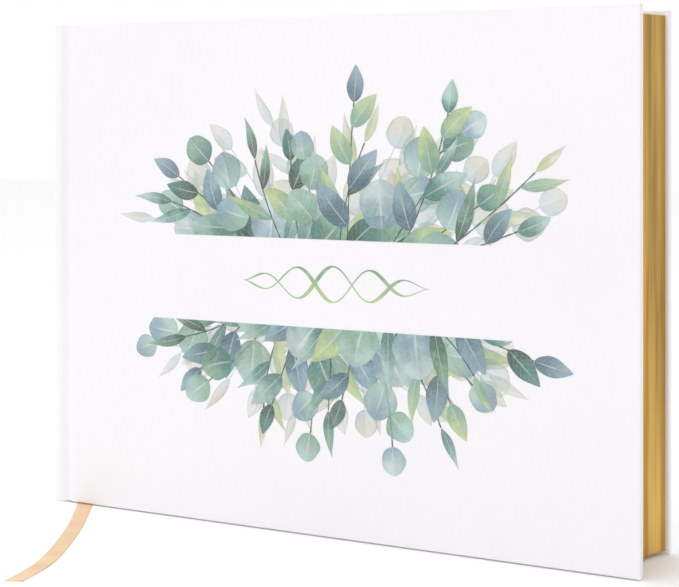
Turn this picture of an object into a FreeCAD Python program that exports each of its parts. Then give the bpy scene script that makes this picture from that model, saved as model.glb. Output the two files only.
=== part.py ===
import FreeCAD, Part
import math
import os

# A hardcover guest book that stands on its tail edge. Millimetres, +Z up along the spine.
# The front cover faces -Y, the spine is at -X and the leaves' fore-edge at +X. The origin is
# on the surface that the book stands on, under the middle of its box.

# The case: two boards, a curved spine card and the printed sheet that is glued round them.
cover_height = 190.0
cover_width = 240.0  # from the spine's shoulder line to the boards' fore-edge
board_thick = 2.5
spine_card_thick = 1.0
wrap_thick = 0.4
turn_in_thick = 0.2
turn_in_width = 15.0
pastedown_thick = 0.2
pastedown_margin = 2.0
wrap_round = 0.5
shoulder_round = 2.5  # where the spine turns in to the covers
joint_width = 10.0  # from the shoulder line to the boards
groove_start = 4.3
groove_depth = 1.0
joint_gap = 0.3  # between the soft joint and the board's wrapper

# The leaves. Their backs stand in an arc, so their fore-edge is hollow by the same arc.
head_square = 2.0  # how far the covers stand past the leaves
tail_square = 1.4
fore_square = 1.3
hollow_depth = 4.5
section_count = 8
section_thick = 3.5
section_round = 1.2
leaf_count = 3  # single leaves that turn, at the front and again at the back
leaf_thick = 0.3
leaf_gap = 0.1
cover_gap = 0.15  # between a pastedown and its flyleaf
fold_place = 14.0  # the line that the loose leaves turn about, from the shoulder line
fold_slack = 1.5  # what stays free on each side of that line

# What is glued and sewn on the folds, from their backs outwards.
tape_thick = 0.3
tape_width = 12.0
tape_count = 3
tape_pitch = 54.0
thread_thick = 0.5
thread_reach = 0.8  # how far a stitch runs past the tape's edges
kettle_inset = 12.0
mull_thick = 0.3
mull_inset = 19.0
liner_thick = 0.3
liner_inset = 7.0
hollow_back = 0.4  # free between the liner and the spine card
band_thick = 1.1
band_flange = 10.0
band_flange_thick = 0.3
touch_gap = 0.05

# The satin ribbon, glued on at the head and led out under the front cover near the spine.
ribbon_width = 6.0
ribbon_thick = 0.2
ribbon_slot = 0.3
ribbon_after = 2  # it lies after this section
ribbon_place = 9.0  # its middle inside the book, from the shoulder line
ribbon_anchor = 11.0
cover_lift = 0.45  # the front cover stands this much higher, to clear the ribbon under it
tail_route = [  # the free tail's middle, to its cut end: from the shoulder line, and forwards
    (15.9, 0.0),
    (25.3, 15.3),
    (36.0, 34.6),
    (45.6, 54.4),
    (52.4, 73.2),
    (54.2, 86.0),
    (54.6, 95.6),
]

# What follows from the sizes above.
leaf_pitch = leaf_thick + leaf_gap
case_depth = wrap_thick + board_thick + turn_in_thick + pastedown_thick
flyleaf_depth = case_depth + cover_gap
block_depth = flyleaf_depth + (leaf_count + 1) * leaf_pitch
thickness = 2 * block_depth + section_count * section_thick + ribbon_slot
half_thick = thickness / 2
leaves_half = half_thick - flyleaf_depth
sections_half = half_thick - block_depth
back_radius = (leaves_half**2 + hollow_depth**2) / (2 * hollow_depth)
mull_radius = back_radius + tape_thick + thread_thick + 2 * touch_gap
liner_radius = mull_radius + mull_thick
card_radius = liner_radius + liner_thick + hollow_back
spine_radius = card_radius + spine_card_thick + wrap_thick
shoulder_y = half_thick - shoulder_round
shoulder_run = math.sqrt((spine_radius - shoulder_round) ** 2 - shoulder_y**2)
spine_bulge = spine_radius - shoulder_round - shoulder_run
spine_x = (spine_bulge - cover_width) / 2
fore_x = spine_x + cover_width
shoulder_x = spine_x + shoulder_round
middle_x = shoulder_x + shoulder_run  # the axis that the spine's arcs share
board_x = spine_x + joint_width
fold_x = spine_x + fold_place
leaf_x = fore_x - fore_square
tail_z = tail_square
head_z = cover_height - head_square
slot_y = block_depth + ribbon_after * section_thick - half_thick
tail_points = [(spine_x + along, -half_thick - forwards) for along, forwards in tail_route]
FRONT = -1
BACK = 1


def box(x0, x1, y0, y1, z0, z1):
    corner = FreeCAD.Vector(x0, min(y0, y1), z0)
    return Part.makeBox(x1 - x0, abs(y1 - y0), z1 - z0, corner)


# A depth is counted inwards from the outer face of the front or the back cover.
def at_depth(side, depth):
    return side * (half_thick - depth)


def slab(side, x0, x1, depth0, depth1, z0, z1):
    return box(x0, x1, at_depth(side, depth0), at_depth(side, depth1), z0, z1)


def foot(side):
    return cover_lift if side == FRONT else 0.0


def board(side):
    low = foot(side) + wrap_thick
    high = cover_height - wrap_thick
    inner = wrap_thick + board_thick
    return slab(side, board_x, fore_x - wrap_thick, wrap_thick, inner, low, high)


def turn_in_window(side):
    low = foot(side) + wrap_thick + turn_in_width
    high = cover_height - wrap_thick - turn_in_width
    inner = wrap_thick + board_thick
    far_x = fore_x - wrap_thick - turn_in_width
    return slab(side, board_x, far_x, inner, inner + turn_in_thick, low, high)


# The printed sheet: the cover's face, its three edges and the turn-ins on the inner face.
def wrap(side):
    inner = wrap_thick + board_thick + turn_in_thick
    body = slab(side, board_x, fore_x, 0.0, inner, foot(side), cover_height)
    edges = []
    for edge in body.Edges:
        if edge.BoundBox.XMax > board_x + 1.0:
            edges.append(edge)
    body = body.makeFillet(wrap_round, edges)
    return body.cut(board(side)).cut(turn_in_window(side))


def pastedown(side):
    inner = wrap_thick + board_thick + turn_in_thick
    start = board_x + 1.0
    low = foot(side) + pastedown_margin
    high = cover_height - pastedown_margin
    far_x = fore_x - pastedown_margin
    sheet = slab(side, start, far_x, inner, inner + pastedown_thick, low, high)
    window = turn_in_window(side)
    window = window.common(box(start, far_x, -half_thick, half_thick, low, high))
    return sheet.fuse(window).removeSplitter()


def extruded(points_and_arcs, low, high):
    edges = []
    for points in points_and_arcs:
        if len(points) == 2:
            edges.append(Part.LineSegment(points[0], points[1]).toShape())
        else:
            edges.append(Part.Arc(points[0], points[1], points[2]).toShape())
    face = Part.Face(Part.Wire(edges))
    face.translate(FreeCAD.Vector(0, 0, low))
    return face.extrude(FreeCAD.Vector(0, 0, high - low))


# The soft joint between the spine and a board, pressed in to a groove.
def joint(side):
    end = joint_width - joint_gap
    middle = (groove_start + end) / 2
    half = (end - groove_start) / 2
    radius = (half**2 + groove_depth**2) / (2 * groove_depth)
    centre = groove_depth - radius
    inner_radius = radius + wrap_thick
    inner_end = centre + math.sqrt(inner_radius**2 - half**2)
    inner_start = middle - math.sqrt(inner_radius**2 - (wrap_thick - centre) ** 2)

    def point(u, depth):
        return FreeCAD.Vector(spine_x + u, at_depth(side, depth), 0)

    outer = [point(groove_start, 0), point(middle, groove_depth), point(end, 0)]
    inner = [
        point(end, inner_end),
        point(middle, groove_depth + wrap_thick),
        point(inner_start, wrap_thick),
    ]
    near = point(shoulder_round, 0)
    near_inner = point(shoulder_round, wrap_thick)
    profile = [
        (near, outer[0]),
        outer,
        (outer[2], inner[0]),
        inner,
        (inner[2], near_inner),
        (near_inner, near),
    ]
    return extruded(profile, 0.0, cover_height)


# The spine's sheet: a wide arc that turns in to each cover at a rounded shoulder.
def spine_wrap():
    def shoulder(side, offset):
        centre = FreeCAD.Vector(shoulder_x, side * shoulder_y, 0)
        outwards = centre - FreeCAD.Vector(middle_x, 0, 0)
        outwards.normalize()
        straight = FreeCAD.Vector(0, side, 0)
        between = outwards + straight
        between.normalize()
        radius = shoulder_round - offset
        return [centre + way * radius for way in (straight, between, outwards)]

    def crown(offset):
        return FreeCAD.Vector(middle_x - spine_radius + offset, 0, 0)

    front_out = shoulder(FRONT, 0.0)
    front_in = shoulder(FRONT, wrap_thick)
    back_out = shoulder(BACK, 0.0)
    back_in = shoulder(BACK, wrap_thick)
    profile = [
        front_out,
        (front_out[2], crown(0.0), back_out[2]),
        back_out[::-1],
        (back_out[0], back_in[0]),
        back_in,
        (back_in[2], crown(wrap_thick), front_in[2]),
        front_in[::-1],
        (front_in[0], front_out[0]),
    ]
    return extruded(profile, 0.0, cover_height)


# A curved layer of the spine between two radii, from one y to another along the outer one.
def curved(inner, outer, start_y, end_y, low, high):
    layer = box(middle_x - outer, middle_x - inner, 0.0, 1.0, low, high)
    face = min(layer.Faces, key=lambda side: side.CenterOfMass.y)
    return turned(face, outer, start_y, end_y)


# A face of the plane y = 0, turned round the spine's axis.
def turned(face, radius, start_y, end_y):
    foot_point = FreeCAD.Vector(middle_x, 0, 0)
    up = FreeCAD.Vector(0, 0, 1)
    start = -math.degrees(math.asin(start_y / radius))
    end = -math.degrees(math.asin(end_y / radius))
    profile = face.copy()
    profile.rotate(foot_point, up, start)
    return profile.revolve(foot_point, up, end - start)


def spine_card():
    outer = card_radius + spine_card_thick
    reach = shoulder_y
    low = wrap_thick
    return curved(card_radius, outer, -reach, reach, low, cover_height - wrap_thick)


# How far the rounding pushes the leaves at this y towards the spine.
def hollow_at(y):
    return math.sqrt(back_radius**2 - y**2) - (back_radius - hollow_depth)


def back_at(y):
    return middle_x - math.sqrt(back_radius**2 - y**2)


# Section 1 is the nearest to the front cover. The ribbon lies in a slot after its own section.
def section(number):
    low_y = section_middle(number) - section_thick / 2
    high_y = low_y + section_thick
    corners = [
        (back_at(low_y), low_y),
        (leaf_x - hollow_at(low_y), low_y),
        (leaf_x - hollow_at(high_y), high_y),
        (back_at(high_y), high_y),
    ]
    points = [FreeCAD.Vector(x, y, tail_z) for x, y in corners + corners[:1]]
    body = Part.Face(Part.makePolygon(points)).extrude(FreeCAD.Vector(0, 0, head_z - tail_z))
    edges = []
    for edge in body.Edges:
        upright = edge.BoundBox.ZLength > (head_z - tail_z) / 2
        if upright and edge.BoundBox.XMax < 0:
            edges.append(edge)
    return body.makeFillet(section_round, edges)


def section_middle(number):
    middle = block_depth + (number - 0.5) * section_thick - half_thick
    return middle + ribbon_slot if number > ribbon_after else middle


def leaf_depth(number):
    return flyleaf_depth + number * leaf_pitch


# Leaf 0 is the flyleaf. What turns starts a little past the fold line.
def leaf(side, number):
    depth = leaf_depth(number)
    start = fold_x + fold_slack
    end = leaf_x - hollow_at(half_thick - depth)
    return slab(side, start, end, depth, depth + leaf_thick, tail_z, head_z)


# The bound margins of the flyleaf and the single leaves, which stay at the spine.
def leaf_folds(side):
    end = fold_x - fold_slack
    strips = []
    for number in range(leaf_count + 1):
        depth = leaf_depth(number)
        start = back_at(half_thick - depth)
        strips.append(slab(side, start, end, depth, depth + leaf_thick, tail_z, head_z))
    return Part.makeCompound(strips)


def tape_middle(number):
    return cover_height / 2 + (number - (tape_count - 1) / 2) * tape_pitch


def tapes():
    outer = back_radius + tape_thick
    strips = []
    for number in range(tape_count):
        low = tape_middle(number) - tape_width / 2
        high = low + tape_width
        strips.append(curved(back_radius, outer, -sections_half, sections_half, low, high))
    return Part.makeCompound(strips)


def disc(x, z, radius):
    across = FreeCAD.Vector(0, 1, 0)
    edge = Part.makeCircle(radius, FreeCAD.Vector(x, 0, z), across)
    return Part.Face(Part.Wire([edge]))


# One stitch over each tape at each section's fold, and a kettle stitch along head and tail.
def sewing_thread():
    radius = thread_thick / 2
    over_tapes = back_radius + tape_thick + touch_gap + radius
    on_folds = back_radius + touch_gap + radius
    up = FreeCAD.Vector(0, 0, 1)
    stitches = []
    for number in range(1, section_count + 1):
        y = section_middle(number)
        x = middle_x - math.sqrt(over_tapes**2 - y**2)
        for tape in range(tape_count):
            low = tape_middle(tape) - tape_width / 2 - thread_reach
            long = tape_width + 2 * thread_reach
            stitches.append(Part.makeCylinder(radius, long, FreeCAD.Vector(x, y, low), up))
    first = section_middle(1)
    last = section_middle(section_count)
    for z in (tail_z + kettle_inset, head_z - kettle_inset - radius):
        thread = disc(middle_x - on_folds, z, radius)
        stitches.append(turned(thread, on_folds, first, last))
    return Part.makeCompound(stitches)


def mull():
    low = tail_z + mull_inset
    high = head_z - mull_inset
    outer = mull_radius + mull_thick
    return curved(mull_radius, outer, -sections_half, sections_half, low, high)


def spine_liner():
    low = tail_z + liner_inset
    high = head_z - liner_inset
    outer = liner_radius + liner_thick
    return curved(liner_radius, outer, -sections_half, sections_half, low, high)


# A woven bead on the end of the folds, with a flange that is glued to their backs.
def end_band(at_head):
    radius = band_thick / 2
    flange_in = back_radius + ribbon_thick + 2 * touch_gap
    flange_out = flange_in + band_flange_thick
    bead_radius = flange_out - radius
    head_bead = head_z + ribbon_thick + touch_gap + radius
    bead_z = head_bead if at_head else tail_z - touch_gap - radius
    far_z = head_z - band_flange if at_head else tail_z + band_flange
    reach = sections_half
    bead = turned(disc(middle_x - bead_radius, bead_z, radius), flange_out, -reach, reach)
    low = min(bead_z, far_z)
    high = max(bead_z, far_z)
    return bead.fuse(curved(flange_in, flange_out, -reach, reach, low, high))


def unit(dx, dy):
    size = math.hypot(dx, dy)
    return dx / size, dy / size


# Inside the book: glued to the folds at the head, laid over the head into its slot, down the
# slot to the table, and forwards to the front cover's edge, where the free tail begins.
def ribbon_marker():
    slot_x = spine_x + ribbon_place
    half = ribbon_width / 2
    low_y = slot_y + (ribbon_slot - ribbon_thick) / 2
    high_y = low_y + ribbon_thick
    centre_y = (low_y + high_y) / 2
    start_y = centre_y - half
    end_y = centre_y + half
    top = head_z + ribbon_thick
    inner = back_radius + touch_gap
    outer = inner + ribbon_thick
    hanging = box(slot_x - half, slot_x + half, low_y, high_y, 0.0, top)
    over = box(middle_x - outer, slot_x + half, start_y, end_y, head_z, top)
    round_end = Part.makeCylinder(outer, top, FreeCAD.Vector(middle_x, 0, 0))
    over = over.common(round_end)
    anchor = curved(inner, outer, start_y, end_y, head_z - ribbon_anchor, top)
    exit_x, exit_y = tail_points[0]
    along = unit(tail_points[1][0] - exit_x, tail_points[1][1] - exit_y)
    side_x = -along[1] * half
    side_y = along[0] * half
    corners = [
        (slot_x - half, high_y),
        (slot_x + half, high_y),
        (exit_x + side_x, exit_y + side_y),
        (exit_x - side_x, exit_y - side_y),
    ]
    points = [FreeCAD.Vector(x, y, 0) for x, y in corners + corners[:1]]
    laid = Part.Face(Part.makePolygon(points)).extrude(FreeCAD.Vector(0, 0, ribbon_thick))
    return hanging.fuse([over, anchor, laid]).removeSplitter()


# The free tail lies flat on the table: straight runs joined by tangent arcs.
def ribbon_tail():
    half = ribbon_width / 2
    runs = list(zip(tail_points, tail_points[1:]))
    ways = [unit(b[0] - a[0], b[1] - a[1]) for a, b in runs]
    lengths = [math.dist(a, b) for a, b in runs]

    def beside(place, way, offset):
        return FreeCAD.Vector(place[0] - way[1] * offset, place[1] + way[0] * offset, 0)

    edges = {half: [], -half: []}
    last = {k: beside(tail_points[0], ways[0], k) for k in edges}
    starts = dict(last)
    length = 0.0
    cut_before = 0.0
    for i in range(1, len(runs)):
        turn = math.atan2(
            ways[i - 1][0] * ways[i][1] - ways[i - 1][1] * ways[i][0],
            ways[i - 1][0] * ways[i][0] + ways[i - 1][1] * ways[i][1],
        )
        cut = 0.45 * min(lengths[i - 1], lengths[i])
        radius = cut / math.tan(abs(turn) / 2)
        print(f"ribbon bend {i}: turn {math.degrees(turn):.1f} deg, radius {radius:.0f} mm")
        corner = tail_points[i]
        before = (corner[0] - ways[i - 1][0] * cut, corner[1] - ways[i - 1][1] * cut)
        after = (corner[0] + ways[i][0] * cut, corner[1] + ways[i][1] * cut)
        swing = math.copysign(radius, turn)
        centre = (before[0] - ways[i - 1][1] * swing, before[1] + ways[i - 1][0] * swing)
        middle_way = unit(ways[i - 1][0] + ways[i][0], ways[i - 1][1] + ways[i][1])
        middle = (centre[0] + middle_way[1] * swing, centre[1] - middle_way[0] * swing)
        for k in edges:
            first = beside(before, ways[i - 1], k)
            second = beside(middle, middle_way, k)
            third = beside(after, ways[i], k)
            edges[k].append((last[k], first))
            edges[k].append((first, second, third))
            last[k] = third
        length += lengths[i - 1] - cut_before - cut + radius * abs(turn)
        cut_before = cut
    for k in edges:
        end = beside(tail_points[-1], ways[-1], k)
        edges[k].append((last[k], end))
        last[k] = end
    length += lengths[-1] - cut_before
    profile = edges[half] + [(last[half], last[-half])]
    profile += [tuple(reversed(edge)) for edge in reversed(edges[-half])]
    profile.append((starts[-half], starts[half]))
    shape = extruded(profile, 0.0, ribbon_thick)
    expected = length * ribbon_width * ribbon_thick
    print(f"ribbon tail: {length:.1f} mm long, {shape.Volume / expected:.4f} of section x length")
    return shape


parts = {
    "front_board": board(FRONT),
    "front_wrap": wrap(FRONT),
    "front_pastedown": pastedown(FRONT),
    "back_board": board(BACK),
    "back_wrap": wrap(BACK),
    "back_pastedown": pastedown(BACK),
    "spine_card": spine_card(),
    "spine_wrap": spine_wrap(),
    "front_joint": joint(FRONT),
    "back_joint": joint(BACK),
    "front_leaf_folds": leaf_folds(FRONT),
    "back_leaf_folds": leaf_folds(BACK),
    "front_flyleaf": leaf(FRONT, 0),
    "back_flyleaf": leaf(BACK, 0),
    "sewing_tapes": tapes(),
    "sewing_thread": sewing_thread(),
    "mull": mull(),
    "spine_liner": spine_liner(),
    "headband": end_band(True),
    "tailband": end_band(False),
    "ribbon_marker": ribbon_marker(),
    "ribbon_tail": ribbon_tail(),
}
for number in range(1, leaf_count + 1):
    parts[f"front_leaf_{number}"] = leaf(FRONT, number)
    parts[f"back_leaf_{number}"] = leaf(BACK, number)
for number in range(1, section_count + 1):
    parts[f"section_{number}"] = section(number)

os.makedirs("parts", exist_ok=True)
for name, shape in parts.items():
    if not shape.isValid():
        raise ValueError(f"{name} isn't a valid solid")
    shape.exportStep(f"parts/{name}.step")
print(f"{len(parts)} parts, {cover_width + spine_bulge:.2f} x {thickness:g} x {cover_height:g} mm")
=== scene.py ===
import math
import random

import bmesh
import bpy
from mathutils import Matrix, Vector


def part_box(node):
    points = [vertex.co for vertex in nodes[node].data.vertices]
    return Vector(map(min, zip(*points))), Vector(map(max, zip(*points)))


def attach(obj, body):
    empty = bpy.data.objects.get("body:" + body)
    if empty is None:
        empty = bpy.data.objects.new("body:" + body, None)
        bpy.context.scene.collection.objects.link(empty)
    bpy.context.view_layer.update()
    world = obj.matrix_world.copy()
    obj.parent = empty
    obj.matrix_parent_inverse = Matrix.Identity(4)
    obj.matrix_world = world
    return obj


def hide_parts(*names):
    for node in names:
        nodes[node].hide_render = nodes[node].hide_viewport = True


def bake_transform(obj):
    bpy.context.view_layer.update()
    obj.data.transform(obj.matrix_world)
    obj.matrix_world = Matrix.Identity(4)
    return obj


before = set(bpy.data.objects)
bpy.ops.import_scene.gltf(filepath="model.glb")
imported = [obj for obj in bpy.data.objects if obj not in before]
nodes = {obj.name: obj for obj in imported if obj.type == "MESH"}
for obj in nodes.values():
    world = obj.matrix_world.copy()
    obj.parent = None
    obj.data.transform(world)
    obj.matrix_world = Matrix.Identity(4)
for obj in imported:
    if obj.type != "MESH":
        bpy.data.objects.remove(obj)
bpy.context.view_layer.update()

mm = 0.001
scene = bpy.context.scene

# where the book's parts are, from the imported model
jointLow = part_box("front_joint")[0]
frontLow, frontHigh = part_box("front_wrap")
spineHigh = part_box("spine_wrap")[1]
flyLow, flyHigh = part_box("front_flyleaf")
shoulder = 2.5 * mm
halfThick = spineHigh.y
spineX = jointLow.x - shoulder  # the shoulder line, which the cover's sizes start from
foreX = frontHigh.x
topZ = frontHigh.z
leafLowZ, leafHighZ = flyLow.z, flyHigh.z
foldX = spineX + 14 * mm  # where the single leaves turn, at the edge of their bound margin

# the arcs that the rounded back and the hollow fore-edge share
backCurve = {"halfBlock": 15.75 * mm, "hollow": 4.5 * mm, "leafEnd": 1.3 * mm, "toSpine": 3.3 * mm}
backRadius = (backCurve["halfBlock"] ** 2 + backCurve["hollow"] ** 2) / (2 * backCurve["hollow"])
spineRadius = backRadius + backCurve["toSpine"]
shoulderY = halfThick - shoulder
middleX = spineX + shoulder + math.sqrt((spineRadius - shoulder) ** 2 - shoulderY**2)
leafEndX = foreX - backCurve["leafEnd"]


def hollowAt(y):
    return math.sqrt(backRadius**2 - y**2) - (backRadius - backCurve["hollow"])


def smooth(t):
    t = max(0.0, min(1.0, t))
    return t * t * (3 - 2 * t)


print("frame loaded")


def makePiece(name, points, faces, materials, faceSlots=None, shade=True):
    mesh = bpy.data.meshes.new(name)
    mesh.from_pydata([tuple(p) for p in points], [], faces)
    for material in materials:
        mesh.materials.append(material)
    if faceSlots:
        mesh.polygons.foreach_set("material_index", faceSlots)
    mesh.polygons.foreach_set("use_smooth", [shade] * len(mesh.polygons))
    mesh.update()
    piece = bpy.data.objects.new(name, mesh)
    scene.collection.objects.link(piece)
    return piece


def bakeModifiers(piece):
    # turns what the modifiers show in to a plain mesh
    graph = bpy.context.evaluated_depsgraph_get()
    graph.update()
    made = bpy.data.meshes.new_from_object(piece.evaluated_get(graph), preserve_all_data_layers=True, depsgraph=graph)
    piece.modifiers.clear()
    old = piece.data
    piece.data = made
    made.name = old.name
    bpy.data.meshes.remove(old)
    return piece


def rework(piece, change):
    # opens the piece's mesh and runs one change on it
    work = bmesh.new()
    work.from_mesh(piece.data)
    change(work)
    work.to_mesh(piece.data)
    work.free()


def mergeAndFace(piece, outward, distance=2e-6):
    # joins doubles and turns the faces so that the largest one looks along outward
    def merge(work):
        bmesh.ops.remove_doubles(work, verts=work.verts, dist=distance)
        bmesh.ops.dissolve_degenerate(work, edges=work.edges, dist=distance)
        faceOut(work)
        largest = max(work.faces, key=lambda face: face.calc_area())
        if largest.normal.dot(outward) < 0:
            bmesh.ops.reverse_faces(work, faces=work.faces)

    rework(piece, merge)
    piece.data.update()


def faceOut(work):
    bmesh.ops.recalc_face_normals(work, faces=work.faces)


def faceFront(work):
    for face in work.faces:
        if face.normal.y > 0:
            face.normal_flip()


def bridgeRows(rows):
    # faces between neighbouring rows of point numbers
    faces = []
    for first, second in zip(rows, rows[1:]):
        for k in range(len(first) - 1):
            faces.append((first[k], first[k + 1], second[k + 1], second[k]))
    return faces


def sideFaces(lower, upper):
    # closes a thin solid between two grids of point numbers: along its rows' ends, then its two end rows
    faces = []
    for j in (0, -1):
        faces += bridgeRows([[row[j] for row in lower], [row[j] for row in upper]])
    for i in (0, -1):
        faces += bridgeRows([lower[i], upper[i]])
    return faces


def thicken(piece, thickness, offset=-1.0):
    wall = piece.modifiers.new("wall", "SOLIDIFY")
    wall.thickness = thickness
    wall.offset = offset
    bakeModifiers(piece)


def sharpen(piece, degrees=40):
    piece.data.set_sharp_from_angle(angle=math.radians(degrees))


def feed(node, inputs):
    # inputs holds, by socket, a value, another node's socket, or a node whose first output it takes
    for key, value in inputs.items():
        source = value.outputs[0] if isinstance(value, bpy.types.Node) else value
        if isinstance(source, bpy.types.NodeSocket):
            node.id_data.links.new(source, node.inputs[key])
        else:
            node.inputs[key].default_value = source


def addNode(tree, kind, inputs=None, **values):
    node = tree.nodes.new(kind)
    for key, value in values.items():
        setattr(node, key, value)
    feed(node, inputs or {})
    return node


def mathNode(tree, operation, a, b=None, c=None, clamp=False):
    terms = {index: value for index, value in enumerate((a, b, c)) if value is not None}
    return addNode(tree, "ShaderNodeMath", terms, operation=operation, use_clamp=clamp).outputs[0]


def times(tree, a, b):
    return mathNode(tree, "MULTIPLY", a, b)


def timesPlus(tree, a, b, c, clamp=False):
    return mathNode(tree, "MULTIPLY_ADD", a, b, c, clamp)


def mixColor(tree, factor, first, second, blend="MIX"):
    ends = {k: (*value, 1.0) if isinstance(value, tuple) else value for k, value in ((6, first), (7, second))}
    return addNode(tree, "ShaderNodeMix", {0: factor, **ends}, data_type="RGBA", blend_type=blend).outputs[2]


def mapRange(tree, value, low, high, toLow=0.0, toHigh=1.0, kind="LINEAR"):
    terms = {0: value, 1: low, 2: high, 3: toLow, 4: toHigh}
    return addNode(tree, "ShaderNodeMapRange", terms, interpolation_type=kind).outputs[0]


def scaled(tree, source, scale):
    return addNode(tree, "ShaderNodeMapping", {"Vector": source, "Scale": scale}).outputs[0]


def noiseNode(tree, vector, scale, detail=3.0, rough=0.5):
    terms = {"Vector": vector, "Scale": scale, "Detail": detail, "Roughness": rough}
    return addNode(tree, "ShaderNodeTexNoise", terms).outputs["Fac"]


def objectPlace(tree):
    return addNode(tree, "ShaderNodeTexCoord").outputs["Object"]


def splitVector(tree, source):
    return addNode(tree, "ShaderNodeSeparateXYZ", {0: source}).outputs


def groupSockets(group, inputs, outputs):
    for name, kind, value in inputs:
        socket = group.interface.new_socket(name=name, in_out="INPUT", socket_type=kind)
        if value is not None:
            socket.default_value = value
    for name, kind in outputs:
        group.interface.new_socket(name=name, in_out="OUTPUT", socket_type=kind)
    return group.nodes.new("NodeGroupInput"), group.nodes.new("NodeGroupOutput")


def buildPaperGrain():
    # cloudy tone, fibres and a fine tooth, for every paper and board
    group = bpy.data.node_groups.new("paperGrain", "ShaderNodeTree")
    scales = [("Cloud Scale", 18.0), ("Fibre Scale", 900.0), ("Tooth Scale", 4200.0)]
    entry, leave = groupSockets(
        group,
        [(name, "NodeSocketFloat", value) for name, value in scales],
        [(name, "NodeSocketFloat") for name in ("Cloud", "Fibre", "Height")],
    )
    place = objectPlace(group)
    cloud = noiseNode(group, place, entry.outputs["Cloud Scale"])
    long = scaled(group, place, (1.0, 1.0, 0.28))
    fibre = noiseNode(group, long, entry.outputs["Fibre Scale"], 2.0, 0.6)
    tooth = noiseNode(group, place, entry.outputs["Tooth Scale"], 2.0)
    height = timesPlus(group, fibre, 0.45, times(group, tooth, 0.55))
    feed(leave, {"Cloud": cloud, "Fibre": fibre, "Height": height})
    return group


def buildWeave():
    # crossing threads from two waves, with a slub that breaks their evenness
    group = bpy.data.node_groups.new("threadWeave", "ShaderNodeTree")
    entry, leave = groupSockets(
        group,
        [("Vector", "NodeSocketVector", None)]
        + [(name, "NodeSocketFloat", value) for name, value in (("Across", 300.0), ("Along", 300.0), ("Slub", 0.3))],
        [("Over", "NodeSocketFloat"), ("Height", "NodeSocketFloat")],
    )
    split = splitVector(group, entry.outputs["Vector"])
    slub = noiseNode(group, entry.outputs["Vector"], 40.0, 2.0)
    wobble = times(group, mathNode(group, "SUBTRACT", slub, 0.5), entry.outputs["Slub"])
    waves = []
    for axis, name in enumerate(("Across", "Along")):
        turns = timesPlus(group, split[axis], entry.outputs[name], wobble)
        waves.append(mathNode(group, "SINE", times(group, turns, math.pi)))
    warp, weft = (mathNode(group, "ABSOLUTE", wave) for wave in waves)
    over = mapRange(group, times(group, *waves), -0.25, 0.25, kind="SMOOTHSTEP")
    mixed = addNode(group, "ShaderNodeMix", {0: over, 2: weft, 3: warp}, data_type="FLOAT")
    feed(leave, {"Over": over, "Height": mixed})
    return group


paperGrain = buildPaperGrain()
threadWeave = buildWeave()


def newMaterial(name, color, rough, **sockets):
    material = bpy.data.materials.new(name)
    material.use_nodes = True
    tree = material.node_tree
    shader = tree.nodes["Principled BSDF"]
    feed(shader, {"Base Color": (*color, 1.0), "Roughness": rough})
    feed(shader, spaced(sockets))
    material.diffuse_color = (*color, 1.0)
    return material, tree, shader


def dress(tree, shader, tone, rough, height, strength, distance):
    # what every finish ends with: colour, roughness and bump
    bump = addNode(tree, "ShaderNodeBump", {"Strength": strength, "Distance": distance, "Height": height})
    feed(shader, {"Base Color": tone, "Roughness": rough, "Normal": bump})


def spaced(sockets):
    return {key.replace("_", " "): value for key, value in sockets.items()}


def placeGroup(tree, group, **sockets):
    return addNode(tree, "ShaderNodeGroup", spaced(sockets), node_tree=group).outputs


# light and dark tone, how much the fibres darken it, then the finish and the scales of the grain
paperKinds = {
    "coverPaper": {
        "light": (0.915, 0.897, 0.922), "dark": (0.885, 0.868, 0.893),
        "fibre": 0.10, "rough": 0.36, "bump": 0.06, "depth": 0.04 * mm,
        "cloud": 9.0, "fibres": 700.0, "tooth": 3600.0,
    },
    "endPaper": {
        "light": (0.90, 0.885, 0.84), "dark": (0.84, 0.82, 0.765),
        "fibre": 0.22, "rough": 0.72, "bump": 0.16, "depth": 0.05 * mm,
        "cloud": 22.0, "fibres": 850.0, "tooth": 4200.0,
    },
    "pagePaper": {
        "light": (0.905, 0.88, 0.81), "dark": (0.85, 0.815, 0.73),
        "fibre": 0.25, "rough": 0.80, "bump": 0.18, "depth": 0.05 * mm,
        "cloud": 26.0, "fibres": 950.0, "tooth": 4600.0,
    },
    "greyBoard": {
        "light": (0.36, 0.345, 0.32), "dark": (0.25, 0.24, 0.22),
        "fibre": 0.55, "rough": 0.92, "bump": 0.45, "depth": 0.12 * mm,
        "cloud": 60.0, "fibres": 520.0, "tooth": 2600.0,
    },
    "kraftPaper": {
        "light": (0.50, 0.345, 0.19), "dark": (0.40, 0.26, 0.135),
        "fibre": 0.45, "rough": 0.86, "bump": 0.30, "depth": 0.08 * mm,
        "cloud": 34.0, "fibres": 620.0, "tooth": 3000.0,
    },
}


def makePaper(name):
    kind = paperKinds[name]
    material, tree, shader = newMaterial(name, kind["light"], kind["rough"])
    scales = {"Cloud_Scale": kind["cloud"], "Fibre_Scale": kind["fibres"], "Tooth_Scale": kind["tooth"]}
    grain = placeGroup(tree, paperGrain, **scales)
    cloud = mapRange(tree, grain["Cloud"], 0.35, 0.68)
    tone = mixColor(tree, cloud, kind["light"], kind["dark"])
    flecks = mapRange(tree, grain["Fibre"], 0.48, 0.74, 0.0, kind["fibre"])
    tone = mixColor(tree, flecks, tone, kind["dark"], "MULTIPLY")
    rough = mapRange(tree, grain["Fibre"], 0.3, 0.7, kind["rough"] - 0.05, kind["rough"] + 0.06)
    dress(tree, shader, tone, rough, grain["Height"], kind["bump"], kind["depth"])
    return material


papers = {name: makePaper(name) for name in paperKinds}
coverShader = papers["coverPaper"].node_tree.nodes["Principled BSDF"]
feed(coverShader, {"Coat Weight": 0.22, "Coat Roughness": 0.30})  # the thin laminate film

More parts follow.
